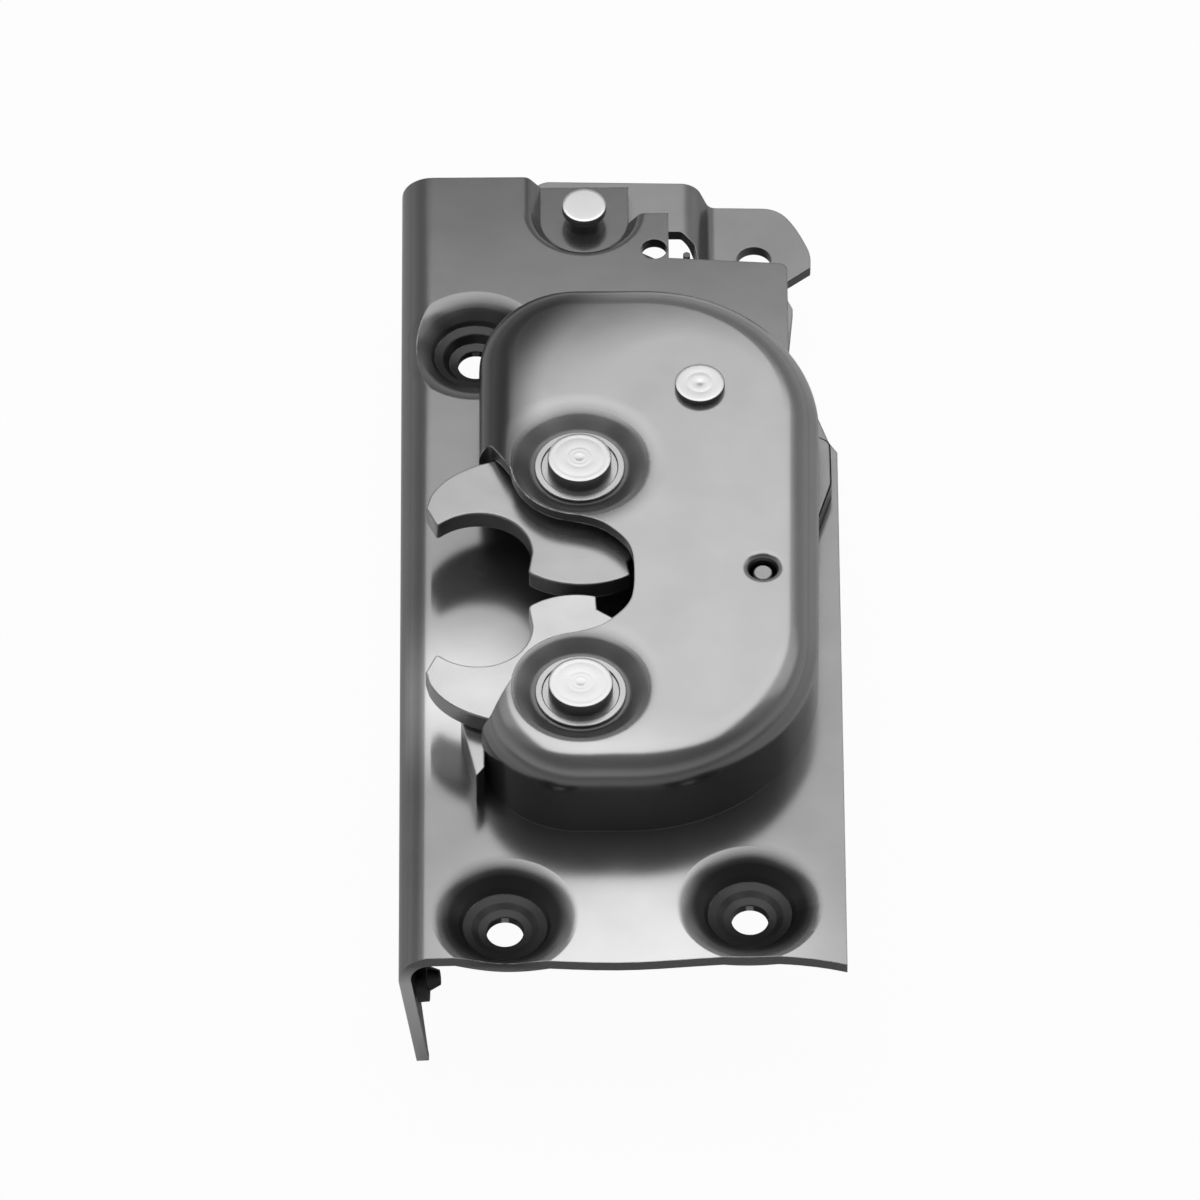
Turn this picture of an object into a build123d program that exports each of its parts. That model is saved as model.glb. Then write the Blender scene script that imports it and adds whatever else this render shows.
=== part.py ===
"""Twin fork bolt rotary door latch, unlatched, in millimetres.

+Z leaves the outer mounting face, +Y runs up the latch, +X runs from the flange edge
across the plate. The origin is where the closed striker's axis meets the mounting face.
"""

from build123d import *
from math import atan2, cos, degrees, hypot, radians, sin, tan
import os

os.makedirs("parts", exist_ok=True)

# Sheet and running gaps
sheet = 2.2
seat_gap = 0.1
moving_gap = 0.3
pin_gap = 0.08

# Frame plate outline
plate_left = -32.8
plate_width = 80.0
plate_bottom = -76.0
plate_top = 111.0
plate_right = plate_left + plate_width
bend_radius = 5.7
flange_depth = 29.2
flange_lean = 7.2
neck_right = plate_right - 8.6
neck_top = 89.2
shoulder_top = 67.3
shoulder_bottom = 43.0
edge_wave = 0.9

# Lever pad, pressed into the top of the plate
lever_pivot = (1.1, 102.8)
pad_depth = 3.0
pad_half_width = 8.1
pad_slope = 2.4
pad_corner = 1.6
pad_rim_fillet = 1.8
tab_top = 101.9
tab_width = 7.4
relief_hole_radius = 2.4
relief_hole_at = (14.0, 93.0)

# Pressed seats for countersunk screws: place and depth of each seat's floor
screw_seats = [((-13.8, -65.2), 4.7), ((30.0, -62.8), 4.7), ((-19.1, 69.6), 5.5)]
screw_hole_radius = 3.3
screw_hole_length = 1.4
screw_hole_flare = 0.8
seat_mouth_radius = 11.9
seat_step_outer = 8.2
seat_step_inner = 7.5
seat_shoulder_radius = 6.0
seat_floor_radius = 4.8
seat_step_depth = 2.5
seat_step_fall = 0.7
seat_shelf_fall = 0.5
seat_floor_fall = 0.45
seat_wall = 1.7
seat_lip_fillet = 7.0

# Fork housing, a drawn cup
housing_height = 17.5
housing_left = -18.3
housing_right = 44.2
housing_top = 70.9
housing_bottom = -46.0
housing_taper = 1.8
housing_edge_fillet = 6.5
corner_top_left = 17.7
corner_top_right = 32.0
corner_bottom_right = 34.0
corner_bottom_left = 18.0
lobe_radius = 12.6
throat_end = 9.8
throat_mouth = 32.4
dish_depth = 2.1
dish_floor_radius = 8.9

# Forks
pivot_spacing = 53.0
fork_thickness = 4.0
fork_level = housing_height - dish_depth - sheet - fork_thickness - 0.2
pivot_y = pivot_spacing / 2
pocket_radius = 9.4
pocket_center = (-18.1, -17.9)
fork_hub_radius = 11.0
beak_radius = 25.3
tooth_radius = 22.4

# Fork pivots
pivot_radius = 4.5
pivot_head_radius = 5.8
pivot_head_height = 2.6
washer_radius = 8.2
washer_thickness = 0.6
washer_groove_radius = 6.9
washer_groove_depth = 0.35
bushing_radius = 6.4
tail_radius = 6.6
tail_height = 1.8
fork_spring_wire = 0.7
fork_spring_turns = 3.5

# Detent lever with its release arm
detent_hub_radius = 5.2
tooth_gap = 0.45
detent_angle = 38.34
detent_pin_radius = 3.1
detent_head_radius = 4.55
detent_head_height = 1.5
detent_arm_thickness = 3.5
arm_slot_height = 4.7

# Locating post seen through the housing
post_at = (33.0, 1.2)
post_radius = 1.9
post_tip_radius = 1.8
post_hole_radius = 2.5
post_hole_fillet = 1.3

# Outside release lever
lever_drop = 6.8
joggle_start = 21.0
joggle_run = 2.6
joggle_fillet = 1.8
lever_top = 114.6
rod_hole_at = (32.6, 100.8)
rod_hole_radius = 3.25
lever_pin_radius = 3.4
lever_pin_head_radius = 4.1
lever_pin_head_height = 1.5

# Release link
link_pin_at = (17.7, 87.6)
link_pin_radius = 2.2
link_width = 8.8
hook_at = (41.0, 36.0)
hook_width = 3.6
hook_play = 1.0
hook_relief = (2.4, 4.6)

# Flange levers
flange_lever_thickness = 2.0
flange_hub_radius = 5.6
clip_hole_radius = 1.6
lock_pin_at = (-26.5, 1.6)
lock_pin_radius = 2.4
lock_pin_height = 2.2
lock_pivot_y = -44.0
inside_pivot_y = 12.0
flange_pivot_depth = 13.0
flange_pin_radius = 2.6
flush_head = 0.9

detent_reach = tooth_radius + tooth_gap + detent_hub_radius
detent_pivot = (detent_reach * cos(radians(detent_angle)), pivot_y + detent_reach * sin(radians(detent_angle)))
housing_under = housing_height - sheet
fork_top = fork_level + fork_thickness
dish_floor = housing_height - dish_depth
pad_floor = -pad_depth
pad_under = pad_floor - sheet
lever_upper = pad_under - 0.2
lever_lower = lever_upper - lever_drop
link_top = lever_upper - sheet - 0.2
lean_sin = sin(radians(flange_lean))
lean_cos = cos(radians(flange_lean))
bend_corner_x = plate_left - bend_radius * ((1 + lean_sin) / lean_cos - 1)
flange_inner_x = bend_corner_x + sheet / lean_cos
left_margin = bend_corner_x - bend_radius


def polar(radius, angle):
    """Point at a radius and an angle in degrees."""
    return (radius * cos(radians(angle)), radius * sin(radians(angle)))


def tangent_hull(a, radius_a, b, radius_b):
    """Outline of two circles joined by their outer tangents, as a face."""
    span = hypot(b[0] - a[0], b[1] - a[1])
    lean = degrees(atan2(b[1] - a[1], b[0] - a[0]))
    side = degrees(atan2((span**2 - (radius_a - radius_b) ** 2) ** 0.5, radius_a - radius_b))
    points = [
        (a[0] + radius_a * cos(radians(lean + side)), a[1] + radius_a * sin(radians(lean + side))),
        (b[0] + radius_b * cos(radians(lean + side)), b[1] + radius_b * sin(radians(lean + side))),
        (b[0] + radius_b * cos(radians(lean - side)), b[1] + radius_b * sin(radians(lean - side))),
        (a[0] + radius_a * cos(radians(lean - side)), a[1] + radius_a * sin(radians(lean - side))),
    ]
    with BuildSketch() as hull:
        with BuildLine():
            Polyline(*points, close=True)
        make_face()
        with Locations(a):
            Circle(radius_a)
        with Locations(b):
            Circle(radius_b)
    return hull.sketch


def stepped_pin(center, steps):
    """Turned pin or rivet: steps are (low z, high z, radius) from bottom to top."""
    with BuildPart() as pin:
        for low, high, radius in steps:
            with BuildSketch(Plane.XY.offset(low)):
                with Locations(center):
                    Circle(radius)
            extrude(amount=high - low)
    return pin.part


def torsion_spring(center, mean_radius, wire, low, turns, pitch, start_angle, lead, tail, bend=0.0):
    """Coil of round wire about a pivot with a straight leg at each end, the first one bent up."""
    with BuildPart() as spring:
        with BuildLine() as path:
            coil = Helix(pitch, pitch * turns, mean_radius)
            if bend:
                foot = coil @ 0 - lead * (coil % 0)
                corner = foot + Vector(0, -1.4, 1.4)
                Line(corner + Vector(0, 0, bend), corner)
                ThreePointArc(corner, foot + Vector(0, -1.0, 0.4), foot)
                Line(foot, coil @ 0)
            else:
                Line(coil @ 0 - lead * (coil % 0), coil @ 0)
            Line(coil @ 1, coil @ 1 + tail * (coil % 1))
        wire_path = path.wires()[0]
        with BuildSketch(Plane(wire_path @ 0, z_dir=wire_path % 0)):
            Circle(wire)
        sweep(path=wire_path)
    return spring.part.rotate(Axis.Z, start_angle).moved(Location((center[0], center[1], low)))


def seat_line(floor_depth):
    """Screw seat's upper surface from its mouth to its hole, as (radius, height)."""
    return [
        (seat_mouth_radius, 0),
        (seat_step_outer, -seat_step_depth),
        (seat_step_inner, -seat_step_depth - seat_step_fall),
        (seat_shoulder_radius, -seat_step_depth - seat_step_fall - seat_shelf_fall),
        (seat_floor_radius, seat_floor_fall - floor_depth),
        (screw_hole_radius, -floor_depth),
    ]


def seat_plane(place):
    """Plane through a seat's axis, with its X along the radius and its Y up."""
    return Plane((place[0], place[1], 0), x_dir=(1, 0, 0), z_dir=(0, -1, 0))


def pad_outline(half_width):
    """Plan of the lever pad, open at the plate's top edge."""
    with BuildSketch() as outline:
        with Locations(lever_pivot):
            Circle(half_width)
        with Locations((lever_pivot[0], lever_pivot[1] + 10)):
            Rectangle(2 * half_width, 20)
    return outline.sketch


def flange_plane(y, depth, lift):
    """Plane on the flange's inner face, lifted off it, with +X along the latch."""
    slide = flange_inner_x + depth * lean_sin / lean_cos
    return Plane((slide + lift * lean_cos, y, -depth + lift * lean_sin), x_dir=(0, 1, 0),
                 z_dir=(lean_cos, 0, lean_sin))


# Frame plate: flat, lever pad, flange and screw seats in one stamping
with BuildPart() as frame_plate:
    flange_tip_x = bend_corner_x + flange_depth * lean_sin / lean_cos
    with BuildSketch(Plane.XZ.offset(-plate_top)) as section:
        with BuildLine():
            outer = FilletPolyline(
                (plate_right, 0),
                (bend_corner_x, 0),
                (flange_tip_x, -flange_depth),
                radius=bend_radius,
            )
            inner_line = FilletPolyline(
                (plate_right, -sheet),
                (flange_inner_x + sheet * lean_sin / lean_cos, -sheet),
                (flange_tip_x + sheet / lean_cos, -flange_depth),
                radius=bend_radius - sheet,
            )
            Line(outer @ 0, inner_line @ 0)
            Line(outer @ 1, inner_line @ 1)
        make_face()
    extrude(amount=plate_top - plate_bottom + 2)

    # Lever pad: a shallow tray open at the top
    slope_angle = degrees(atan2(pad_slope, pad_depth))
    wall_shift = sheet / cos(radians(slope_angle)) - sheet * tan(radians(slope_angle))

    with BuildSketch(Plane.XY.offset(pad_under)):
        add(pad_outline(pad_half_width + wall_shift))
    extrude(amount=pad_depth, taper=-slope_angle)
    with BuildSketch(Plane.XY.offset(pad_floor)):
        add(pad_outline(pad_half_width))
    extrude(amount=pad_depth + 1, taper=-slope_angle, mode=Mode.SUBTRACT)
    pad_reach = pad_half_width + pad_slope + 1
    near_pad = frame_plate.edges().filter_by_position(Axis.X, lever_pivot[0] - pad_reach, lever_pivot[0] + pad_reach)
    near_pad = near_pad.filter_by_position(Axis.Y, lever_pivot[1] - pad_reach, plate_top - 0.5)
    fillet(near_pad.filter_by_position(Axis.Z, -0.01, 0.01), pad_rim_fillet)

    # Lower edge of the flange, cut back between its two ears
    with BuildSketch(Plane.YZ.offset(left_margin - 1)):
        with BuildLine():
            FilletPolyline(
                (plate_bottom + 1.2, -flange_depth - 2),
                (plate_bottom + 7.6, -16.5),
                (plate_bottom + 18, -16.5),
                (plate_bottom + 24, -flange_depth - 2),
                radius=2.5,
                close=True,
            )
        make_face()
        with BuildLine():
            FilletPolyline(
                (plate_top - 30, -flange_depth - 2),
                (plate_top - 16, -18.0),
                (plate_top + 3, -18.0),
                (plate_top + 3, -flange_depth - 2),
                radius=1.0,
                close=True,
            )
        make_face()
    extrude(amount=24, mode=Mode.SUBTRACT)

    # Screw seats, kept under the plate's own surface near the bend
    with BuildPart(mode=Mode.PRIVATE) as seats:
        for place, floor_depth in screw_seats:
            hole_bottom = -floor_depth - screw_hole_length
            with BuildSketch(seat_plane(place)):
                with BuildLine():
                    Polyline(
                        *seat_line(floor_depth),
                        (screw_hole_radius, hole_bottom),
                        (screw_hole_radius + screw_hole_flare, hole_bottom - screw_hole_flare),
                        (seat_floor_radius + 0.6, hole_bottom - screw_hole_flare),
                        (seat_step_inner + 0.5, -seat_step_depth - seat_step_fall - seat_wall),
                        (seat_step_outer + 0.7, -seat_step_depth - seat_wall),
                        (seat_mouth_radius + 1.2, -sheet),
                        (seat_mouth_radius + 1.2, 0),
                        close=True,
                    )
                make_face()
            revolve(axis=Axis((*place, 0), (0, 0, 1)))
        with BuildSketch(Plane.XZ.offset(-plate_top)):
            with BuildLine():
                envelope = FilletPolyline(
                    (plate_right, 0), (bend_corner_x, 0), (flange_tip_x, -flange_depth), radius=bend_radius
                )
                Line(envelope @ 0, (plate_right, -flange_depth))
                Line((plate_right, -flange_depth), envelope @ 1)
            make_face()
        extrude(amount=plate_top - plate_bottom + 2, mode=Mode.INTERSECT)
    add(seats.part)
    # Plan outline
    pad_right = lever_pivot[0] + pad_half_width + 0.1
    tab_right = pad_right + tab_width
    left_seat_x = screw_seats[0][0][0]
    right_seat_x = screw_seats[1][0][0]
    with BuildSketch(Plane.XY.offset(-flange_depth - 1)) as plan:
        with BuildLine():
            wave = Spline(
                (left_margin, plate_bottom),
                (left_seat_x, plate_bottom + edge_wave),
                ((left_seat_x + right_seat_x) / 2, plate_bottom - 0.1),
                (right_seat_x, plate_bottom + edge_wave + 0.3),
                (plate_right, plate_bottom - edge_wave),
            )
            Polyline(
                wave @ 1,
                (plate_right, shoulder_bottom),
                (plate_right - 1.5, shoulder_bottom + 2.4),
                (neck_right, shoulder_top),
                (neck_right, neck_top),
                (tab_right, neck_top + 1.6),
                (tab_right, tab_top),
                (pad_right, tab_top),
                (pad_right, plate_top),
                (left_margin, plate_top),
                wave @ 0,
            )
        make_face()
        corners = plan.vertices()
        fillet(corners.sort_by_distance((neck_right, neck_top))[0], 1.5)
        fillet(corners.sort_by_distance((tab_right, tab_top))[0], 2.6)
        fillet(corners.sort_by_distance((pad_right, plate_top))[0], pad_corner)
        fillet(corners.sort_by_distance((plate_right, plate_bottom - edge_wave))[0], 1.2)
        fillet(corners.sort_by_distance((plate_right, shoulder_bottom))[0], 1.5)
    extrude(amount=flange_depth + 2, mode=Mode.INTERSECT)

    # Bores for the rivets, the relief hole, and the slot for the link's hook
    with BuildSketch(Plane.XY.offset(1)):
        with Locations((0, pivot_y), (0, -pivot_y)):
            Circle(pivot_radius)
        with Locations(detent_pivot):
            Circle(detent_pin_radius)
        with Locations(post_at):
            Circle(post_radius)
        with Locations(lever_pivot):
            Circle(lever_pin_radius)
        with Locations(relief_hole_at):
            Circle(relief_hole_radius)
        with Locations((hook_at[0] + 0.5, hook_at[1] + 1.5)):
            RectangleRounded(hook_width + hook_relief[0], sheet + hook_relief[1], 1.5)
    extrude(amount=-10, mode=Mode.SUBTRACT)

    # Bores for the flange rivets
    for y in (lock_pivot_y, inside_pivot_y):
        with BuildSketch(Plane((flange_inner_x + flange_pivot_depth * lean_sin / lean_cos, y,
                                -flange_pivot_depth), x_dir=(0, 1, 0), z_dir=(lean_cos, 0, lean_sin))):
            Circle(flange_pin_radius)
        extrude(amount=5, both=True, mode=Mode.SUBTRACT)
        with BuildSketch(flange_plane(y, flange_pivot_depth, -sheet)):
            Circle(flange_pin_radius + flush_head)
        extrude(amount=flush_head, taper=45, mode=Mode.SUBTRACT)

    # Seat cavities, cut last
    for place, floor_depth in screw_seats:
        with BuildSketch(seat_plane(place)):
            with BuildLine():
                hole_end = (screw_hole_radius, -floor_depth - screw_hole_length)
                FilletPolyline(
                    (0, 1),
                    (seat_mouth_radius + 8, 1),
                    (seat_mouth_radius + 8, 0.25),
                    *seat_line(floor_depth),
                    hole_end,
                    (0, hole_end[1]),
                    radius=(0, 0, 0, seat_lip_fillet, 1.2, 0.5, 0.7, 0.7, 0.2, 0, 0),
                    close=True,
                )
            make_face()
        revolve(axis=Axis((*place, 0), (0, 0, 1)), mode=Mode.SUBTRACT)
frame_plate.part.label = "frame_plate"


def throat_half(side):
    """Edge of the housing's throat from its mouth to its end, on one side of the latch."""
    lobe_start = polar(lobe_radius, 188)
    lobe_mid = polar(lobe_radius, 223)
    lobe_stop = polar(lobe_radius, 258)
    reach = 6.0
    mouth = Polyline(
        (housing_left - reach, side * (throat_mouth + 0.2)),
        (housing_left + 2.0, side * (throat_mouth - 0.4)),
        (lobe_start[0], side * (pivot_y + lobe_start[1])),
    )
    ThreePointArc(
        mouth @ 1,
        (lobe_mid[0], side * (pivot_y + lobe_mid[1])),
        (lobe_stop[0], side * (pivot_y + lobe_stop[1])),
    )
    Spline(
        (lobe_stop[0], side * (pivot_y + lobe_stop[1])),
        (3.6, side * 12.3),
        (7.5, side * 8.9),
        (throat_end, 0),
        tangents=((0.978, side * -0.208), (0, -side)),
    )


def housing_outline(inset):
    """Housing plan, inset all round."""
    with BuildSketch() as outline:
        with BuildLine():
            FilletPolyline(
                (housing_left, housing_top),
                (housing_right, housing_top),
                (housing_right - housing_taper, housing_bottom),
                (housing_left, housing_bottom),
                radius=(corner_top_left, corner_top_right, corner_bottom_right, corner_bottom_left),
                close=True,
            )
        make_face()
        if inset:
            offset(amount=-inset, mode=Mode.REPLACE)
    return outline.sketch


# Fork housing: drawn cup with the striker throat cut through it
with BuildPart() as fork_housing:
    with BuildSketch():
        add(housing_outline(0))
    extrude(amount=housing_height)
    fillet(fork_housing.faces().sort_by(Axis.Z)[-1].edges(), housing_edge_fillet)
    with BuildPart(mode=Mode.PRIVATE) as hollow:
        with BuildSketch():
            add(housing_outline(sheet))
        extrude(amount=housing_under)
        fillet(hollow.faces().sort_by(Axis.Z)[-1].edges(), housing_edge_fillet - sheet)
    add(hollow.part, mode=Mode.SUBTRACT)

    # Dished seats round the two fork pivots
    for side in (1, -1):
        center = (0, side * pivot_y, 0)
        dish_rim = dish_floor_radius + dish_depth * 1.65
        with BuildSketch(Plane(center, x_dir=(1, 0, 0), z_dir=(0, -1, 0))):
            with BuildLine():
                Polyline(
                    (pivot_radius + pin_gap, dish_floor),
                    (dish_floor_radius, dish_floor),
                    (dish_rim, housing_height),
                    (dish_rim, housing_under),
                    (dish_rim - 0.6, housing_under),
                    (dish_floor_radius - 0.6, dish_floor - sheet),
                    (pivot_radius + pin_gap, dish_floor - sheet),
                    close=True,
                )
            make_face()
        revolve(axis=Axis(center, (0, 0, 1)))
        with BuildSketch(Plane(center, x_dir=(1, 0, 0), z_dir=(0, -1, 0))) as bowl:
            with BuildLine():
                Polyline(
                    (0, dish_floor),
                    (dish_floor_radius, dish_floor),
                    (dish_rim, housing_height),
                    (dish_rim + 4, housing_height),
                    (dish_rim + 4, housing_height + 1),
                    (0, housing_height + 1),
                    close=True,
                )
            make_face()
            fillet(bowl.vertices().sort_by_distance((dish_rim, housing_height))[0], 3.0)
            fillet(bowl.vertices().sort_by_distance((dish_floor_radius, dish_floor))[0], 1.2)
        revolve(axis=Axis(center, (0, 0, 1)), mode=Mode.SUBTRACT)

    # Striker throat
    with BuildSketch(Plane.XY.offset(-1)) as throat:
        with BuildLine():
            throat_half(1)
            throat_half(-1)
            Line((housing_left - 6.0, throat_mouth + 0.2), (housing_left - 6.0, -throat_mouth - 0.2))
        make_face()
        mouth_corners = throat.vertices().filter_by_position(Axis.X, housing_left + 1.9, housing_left + 2.1)
        fillet(mouth_corners, 1.8)
    extrude(amount=housing_height + 2, mode=Mode.SUBTRACT)

    # Flared foot of the side wall that stays under the lower fork
    with BuildSketch():
        with BuildLine():
            Polyline(
                (housing_left - 3.3, -throat_mouth + 6.4),
                (housing_left + 0.9, -throat_mouth + 6.4),
                (housing_left + 0.9, -throat_mouth - 5.1),
                (housing_left - 0.5, -throat_mouth - 7.1),
                close=True,
            )
        make_face()
    extrude(amount=fork_level - 0.8)

    # Rivet bores, post hole with its pressed edge, and the slot for the detent arm
    with BuildSketch(Plane.XY.offset(housing_height + 1)):
        with Locations((0, pivot_y), (0, -pivot_y)):
            Circle(pivot_radius + pin_gap)
        with Locations(detent_pivot):
            Circle(detent_pin_radius)
        with Locations(post_at):
            Circle(post_hole_radius)
    extrude(amount=-8, mode=Mode.SUBTRACT)
    post_edge = fork_housing.edges().filter_by(GeomType.CIRCLE).sort_by_distance((*post_at, housing_height))[0]
    fillet(post_edge, post_hole_fillet)
    with BuildSketch(Plane.YZ.offset(housing_right - 12)):
        with Locations((36.0, arm_slot_height / 2 - 1)):
            Rectangle(36, arm_slot_height + 2)
    extrude(amount=16, mode=Mode.SUBTRACT)
fork_housing.part.label = "fork_housing"


def fork_profile(beak_end, floor_angle, tooth_start, tooth_end):
    """Fork outline about its own pivot, turned as for the upper fork."""
    with BuildSketch() as profile:
        with BuildLine():
            tip_inner = (-25.9, -11.5)
            pocket_top = (pocket_center[0], pocket_center[1] + pocket_radius)
            pocket_side = (pocket_center[0] + pocket_radius, pocket_center[1])
            beak_root = (-9.4, -22.5)
            beak_mid = polar(beak_radius, 262)
            beak_tip = polar(beak_radius - 0.3, beak_end)
            step_foot = polar(tooth_radius - 0.4, beak_end + 1.4)
            floor_end = polar(tooth_radius - 2.6, floor_angle)
            tooth_corner = polar(tooth_radius, tooth_start)
            tooth_stop = polar(tooth_radius, tooth_end)
            hub_right = polar(fork_hub_radius, 62)
            hub_top = polar(fork_hub_radius, 105)
            hub_left = polar(fork_hub_radius, 138)
            ThreePointArc(tip_inner, (-22.3, -9.2), pocket_top)
            ThreePointArc(pocket_top, tuple(Vector(*pocket_center) + Vector(*polar(pocket_radius, 45)))[:2],
                          pocket_side)
            Line(pocket_side, beak_root)
            ThreePointArc(beak_root, beak_mid, beak_tip)
            Polyline(beak_tip, step_foot, floor_end, tooth_corner)
            ThreePointArc(tooth_corner, polar(tooth_radius, (tooth_start + tooth_end) / 2), tooth_stop)
            Spline(tooth_stop, polar(17.0, tooth_end + 24), hub_right, hub_top, hub_left,
                   (-14.5, 4.5), (-19.2, 2.8), (-23.8, 0.0), (-27.3, -4.7))
            Polyline((-27.3, -4.7), (-27.9, -7.2), tip_inner)
        make_face()
        fillet(profile.vertices().sort_by_distance(tip_inner)[0], 0.6)
        fillet(profile.vertices().sort_by_distance(beak_root)[0], 1.2)
        Circle(pivot_radius + pin_gap, mode=Mode.SUBTRACT)
    return profile.sketch


# Upper fork bolt
with BuildPart() as upper_fork_bolt:
    with BuildSketch(Plane.XY.offset(fork_level)):
        with Locations((0, pivot_y)):
            add(fork_profile(291.5, 305.5, 306.5, 352))
    extrude(amount=fork_thickness)
upper_fork_bolt.part.label = "upper_fork_bolt"

# Lower fork bolt, the mirrored hand with its notch further back
with BuildPart() as lower_fork_bolt:
    with BuildSketch(Plane.XY.offset(fork_level)):
        with Locations((0, pivot_y)):
            add(fork_profile(276.6, 296.5, 297.5, 343))
    extrude(amount=fork_thickness)
    mirror(about=Plane.XZ, mode=Mode.REPLACE)
lower_fork_bolt.part.label = "lower_fork_bolt"

# Fork pivots: rivet, ring washer, spacer bushing and spring at each fork
washer_top = dish_floor + washer_thickness
groove_floor = washer_top - washer_groove_depth
fork_parts = []
for name, side in (("upper", 1), ("lower", -1)):
    seat = (0, side * pivot_y)
    with BuildPart() as pivot_rivet:
        add(stepped_pin(seat, [
            (-sheet - tail_height, -sheet, tail_radius),
            (-sheet, groove_floor, pivot_radius),
            (groove_floor, washer_top + pivot_head_height, pivot_head_radius),
        ]))
        rims = pivot_rivet.edges().filter_by(GeomType.CIRCLE).sort_by(Axis.Z)
        chamfer([rims[0], rims[-1]], 0.5)
    pivot_rivet.part.label = name + "_pivot_rivet"
    with BuildPart() as pivot_washer:
        with BuildSketch(Plane.XY.offset(dish_floor)):
            with Locations(seat):
                Circle(washer_radius)
                Circle(pivot_radius, mode=Mode.SUBTRACT)
        extrude(amount=washer_thickness)
        with BuildSketch(Plane.XY.offset(groove_floor)):
            with Locations(seat):
                Circle(washer_groove_radius)
        extrude(amount=washer_groove_depth, mode=Mode.SUBTRACT)
        top_rims = pivot_washer.edges().filter_by(GeomType.CIRCLE).group_by(Axis.Z)[-1]
        chamfer(top_rims, 0.15)
    pivot_washer.part.label = name + "_pivot_washer"
    with BuildPart() as fork_bushing:
        with BuildSketch():
            with Locations(seat):
                Circle(bushing_radius)
                Circle(pivot_radius, mode=Mode.SUBTRACT)
        extrude(amount=fork_level - seat_gap)
    fork_bushing.part.label = name + "_fork_bushing"
    fork_parts += [pivot_rivet.part, pivot_washer.part, fork_bushing.part]
fork_spring_radius = bushing_radius + fork_spring_wire + moving_gap
fork_spring_low = fork_spring_wire + 0.9
fork_spring_pitch = (fork_level - fork_spring_low - fork_spring_wire - 1.1) / fork_spring_turns
upper_fork_spring = torsion_spring((0, pivot_y), fork_spring_radius, fork_spring_wire,
                                   fork_spring_low, fork_spring_turns, fork_spring_pitch, 90, 12.5, 7.0)
upper_fork_spring.label = "upper_fork_spring"
lower_fork_spring = mirror(upper_fork_spring, about=Plane.XZ)
lower_fork_spring.label = "lower_fork_spring"
fork_parts += [upper_fork_spring, lower_fork_spring]


def near_tooth(side, gap, angle):
    """Point clear of a fork's tooth circle by a gap, seen from that fork's pivot at an angle."""
    reach = polar(tooth_radius + gap, angle)
    return (reach[0], side * pivot_y + reach[1])


# Detent lever: two noses drop behind the forks' teeth
with BuildPart() as detent_lever:
    with BuildSketch(Plane.XY.offset(fork_level)) as pawl:
        with BuildLine():
            Polyline(
                near_tooth(1, 0.83, 41.9), near_tooth(1, 1.11, 29.3), near_tooth(1, 0.82, 8.7), near_tooth(1, 0.90, -3.7),
                near_tooth(1, 0.46, -10.8), near_tooth(1, 0.46, -18.4), near_tooth(1, 3.48, -23.7), near_tooth(1, 3.86, -36.2),
                near_tooth(1, 5.59, -48.6), near_tooth(-1, 9.30, 56.7), near_tooth(-1, 4.87, 50.4), near_tooth(-1, 3.95, 41.6),
                near_tooth(-1, 3.22, 36.1), near_tooth(-1, 0.43, 29.1), near_tooth(-1, 0.42, 20.0), near_tooth(-1, 2.96, 15.8),
                near_tooth(-1, 6.21, 23.7), near_tooth(-1, 8.06, 32.8), near_tooth(-1, 10.55, 44.3), near_tooth(1, 8.86, -41.0),
                near_tooth(1, 6.45, -25.7), near_tooth(1, 6.02, -7.1), near_tooth(1, 6.83, 12.8), near_tooth(1, 9.24, 31.4),
                close=True,
            )
        make_face()
        with Locations(detent_pivot):
            Circle(detent_hub_radius)
        with Locations(detent_pivot):
            Circle(detent_pin_radius + pin_gap, mode=Mode.SUBTRACT)
    extrude(amount=fork_thickness)
    arm_top = 0.4 + detent_arm_thickness
    with BuildSketch(Plane.XY.offset(arm_top)):
        with Locations(detent_pivot):
            Circle(detent_hub_radius)
            Circle(detent_pin_radius + pin_gap, mode=Mode.SUBTRACT)
    extrude(amount=fork_level - arm_top)
detent_lever.part.label = "detent_lever"

# Detent arm: lies on the plate and shows beside the housing
with BuildPart() as detent_arm:
    with BuildSketch(Plane.XY.offset(0.4)) as arm:
        with BuildLine():
            Polyline(
                (17.0, 49.8), (24.0, 51.6), (39.0, 47.0), (45.9, 42.4), (46.0, 32.5), (42.6, 21.0),
                (38.5, 18.6), (31.5, 24.0), (24.0, 33.0), (16.0, 38.0),
                close=True,
            )
        make_face()
        fillet(arm.vertices().sort_by_distance((45.9, 42.4))[0], 2.0)
        fillet(arm.vertices().sort_by_distance((46.0, 32.5))[0], 6.0)
        fillet(arm.vertices().sort_by_distance((42.6, 21.0))[0], 2.5)
        fillet(arm.vertices().sort_by_distance((38.5, 18.6))[0], 2.5)
        with Locations(detent_pivot):
            Circle(detent_hub_radius + 2.6)
        with Locations(detent_pivot):
            Circle(detent_pin_radius + pin_gap, mode=Mode.SUBTRACT)
        with Locations(hook_at):
            RectangleRounded(hook_width + hook_play, sheet + hook_play, 0.4, mode=Mode.SUBTRACT)
    extrude(amount=detent_arm_thickness)
    chamfer(detent_arm.faces().sort_by(Axis.Z)[-1].outer_wire().edges(), 0.25)
detent_arm.part.label = "detent_arm"

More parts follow.
